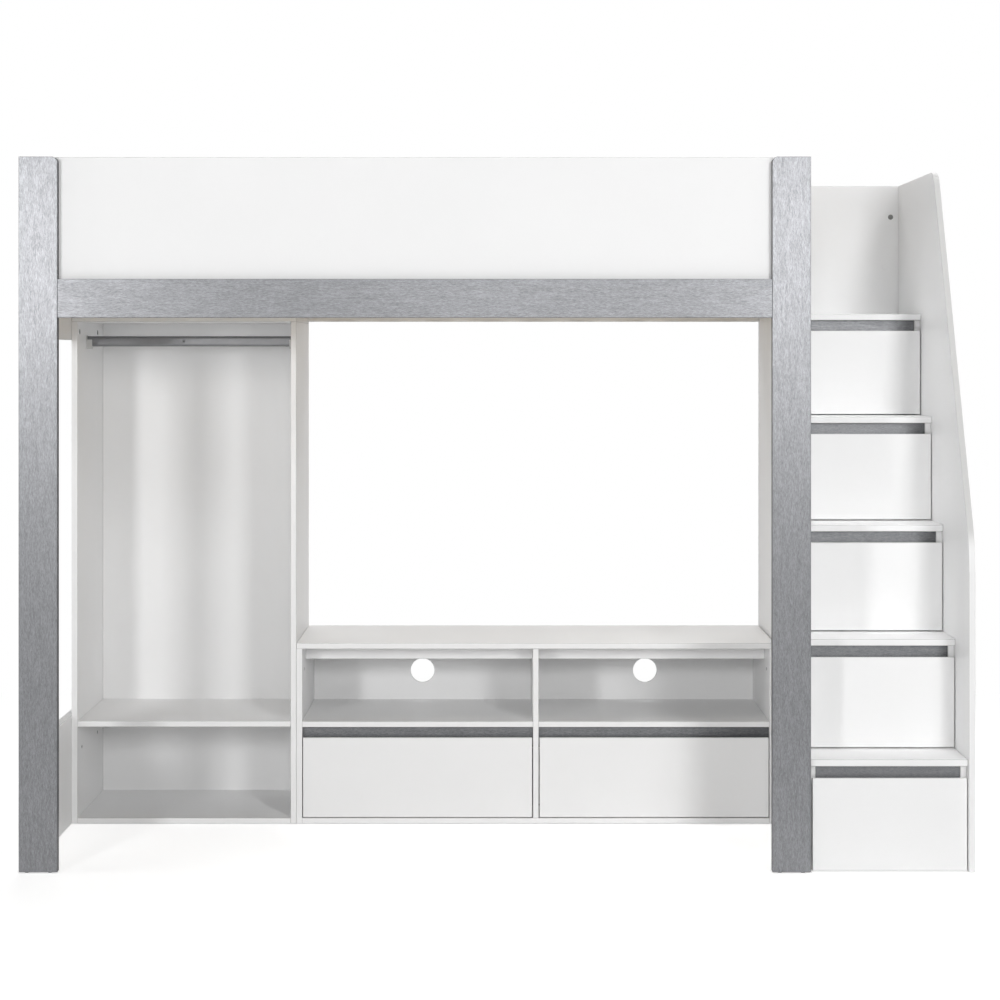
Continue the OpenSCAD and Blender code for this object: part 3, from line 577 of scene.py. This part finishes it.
class BED_OT_screws(bpy.types.Operator):
    """Screws the runners to the boards and to the drawer boxes, and the slats to their ledgers"""
    bl_idname = "bed.screws"
    bl_label = "Screws"

    def execute(self, context):
        sizes = context.scene.bed_sizes
        zinc = plain_finish("zinc_screws", context.scene.bed_finishes.zinc, 0.6, 0.34, metallic=1.0)
        fixed = []
        for drawer in DRAWERS:
            on_boards, on_box = runner_spots(drawer)
            fixed += on_boards
            screws(f"{drawer}_drawer_runner_screws", on_box, sizes.screw_head, sizes.screw_dome, zinc,
                   f"{drawer}_drawer")
        screws("runner_screws", fixed, sizes.screw_head, sizes.screw_dome, zinc, "bedstead")
        screws("slat_screws", slat_spots(), sizes.slat_screw_head, sizes.slat_screw_dome, zinc, "bedstead")
        return {"FINISHED"}


def lay_floor():
    """Lays the round white floor just under the bed."""
    sheet = bmesh.new()
    bmesh.ops.create_circle(sheet, cap_ends=True, segments=96, radius=FLOOR_RADIUS)
    bmesh.ops.translate(sheet, verts=sheet.verts, vec=(0, 0, -FLOOR_DROP))
    data = bpy.data.meshes.new("floor")
    sheet.to_mesh(data)
    sheet.free()
    floor = bpy.data.objects.new("floor", data)
    bpy.context.scene.collection.objects.link(floor)
    wear(floor, floor_paper())


def set_lamps(studio):
    """Sets the soft lights: four in front, one over the stairs, one at each end and one behind."""
    soft_light("left", place=(-2.8, -6.0, 1.95), aim=BED_MIDDLE, width=0.6, height=1.4, watts=studio.left)
    soft_light("middle", place=(0, -6.0, 2.1), aim=BED_MIDDLE, width=0.6, height=0.6, watts=studio.middle)
    soft_light("right", place=(2.2, -6.0, 1.95), aim=BED_MIDDLE, width=0.9, height=1.4, watts=studio.right)
    soft_light("high", place=(3.0, -7.0, 5.4), aim=(0.9, 0, 0.8), width=1.6, height=1.6, watts=studio.high)
    soft_light("over_stairs", place=(1.15, -0.4, 4.4), aim=(1.1, 0.0, 0.5), width=0.8, height=1.2,
               watts=studio.over_stairs, spread=40)
    soft_light("side_left", place=(-6.0, -1.0, 2.0), aim=BED_MIDDLE, width=1.5, height=1.5, watts=studio.side)
    soft_light("side_right", place=(6.0, 0.6, 2.0), aim=BED_MIDDLE, width=1.5, height=1.5, watts=studio.side)
    soft_light("over_back", place=(0, 2.8, 4.8), aim=(0, 0.2, 1.0), width=4.0, height=1.5,
               watts=studio.over_back)


def fill_world(studio):
    """White all round for the camera and for reflections, and a faint even light for the bed."""
    world = bpy.data.worlds.new("studio")
    bpy.context.scene.world = world
    world.use_nodes = True
    tree = world.node_tree
    tree.nodes.clear()
    level = remap(tree, shown_rays(tree), UNIT_RANGE, (studio.fill, 1.0))
    light = add_node(tree, "ShaderNodeBackground", {"Color": (1, 1, 1, 1)}, {"Strength": level})
    add_node(tree, "ShaderNodeOutputWorld", links={"Surface": light.outputs[0]})


def place_camera(studio):
    """Puts the camera in its place, level and square to the front."""
    data = bpy.data.cameras.new("camera")
    data.sensor_width = SENSOR_WIDTH
    data.lens = studio.lens
    data.shift_y = CAMERA_SHIFT
    data.clip_end = VIEW_LIMIT
    camera = bpy.data.objects.new("camera", data)
    camera.location = CAMERA_PLACE
    camera.rotation_euler = (math.radians(90), 0, 0)
    bpy.context.scene.collection.objects.link(camera)
    bpy.context.scene.camera = camera


class BED_OT_studio(bpy.types.Operator):
    """Lays the white floor, sets the soft lights and the even fill, and puts the camera in its place"""
    bl_idname = "bed.studio"
    bl_label = "Studio"

    def execute(self, context):
        studio = context.scene.bed_studio
        lay_floor()
        set_lamps(studio)
        fill_world(studio)
        place_camera(studio)
        context.scene.view_settings.view_transform = "Standard"
        return {"FINISHED"}


class BED_PT_panel(bpy.types.Panel):
    """Lists the steps that dress the bed, its finishes and sizes, and the studio's settings"""
    bl_idname = "BED_PT_panel"
    bl_label = "High Sleeper Bed"
    bl_space_type = "VIEW_3D"
    bl_region_type = "UI"
    bl_category = "Bed"

    def draw(self, context):
        for operator in OPERATORS:
            self.layout.operator(operator.bl_idname)
        for group in ("bed_finishes", "bed_sizes", "bed_studio"):
            settings = getattr(context.scene, group)
            box = self.layout.box()
            for name in settings.__annotations__:
                box.prop(settings, name)


OPERATORS = (BED_OT_white_boards, BED_OT_silver_boards, BED_OT_slatted_base, BED_OT_fittings, BED_OT_screws,
             BED_OT_studio)
GROUPS = {"bed_finishes": BedFinishes, "bed_sizes": BedSizes, "bed_studio": BedStudio}


def register():
    for group in GROUPS.values():
        bpy.utils.register_class(group)
    for name, group in GROUPS.items():
        setattr(bpy.types.Scene, name, PointerProperty(type=group))
    for operator in OPERATORS:
        bpy.utils.register_class(operator)
    bpy.utils.register_class(BED_PT_panel)


def unregister():
    bpy.utils.unregister_class(BED_PT_panel)
    for operator in reversed(OPERATORS):
        bpy.utils.unregister_class(operator)
    for name, group in GROUPS.items():
        delattr(bpy.types.Scene, name)
        bpy.utils.unregister_class(group)


def main():
    register()
    bpy.ops.bed.white_boards()
    bpy.ops.bed.silver_boards()
    bpy.ops.bed.slatted_base()
    bpy.ops.bed.fittings()
    bpy.ops.bed.screws()
    bpy.ops.bed.studio()


if __name__ == "__main__":
    main()
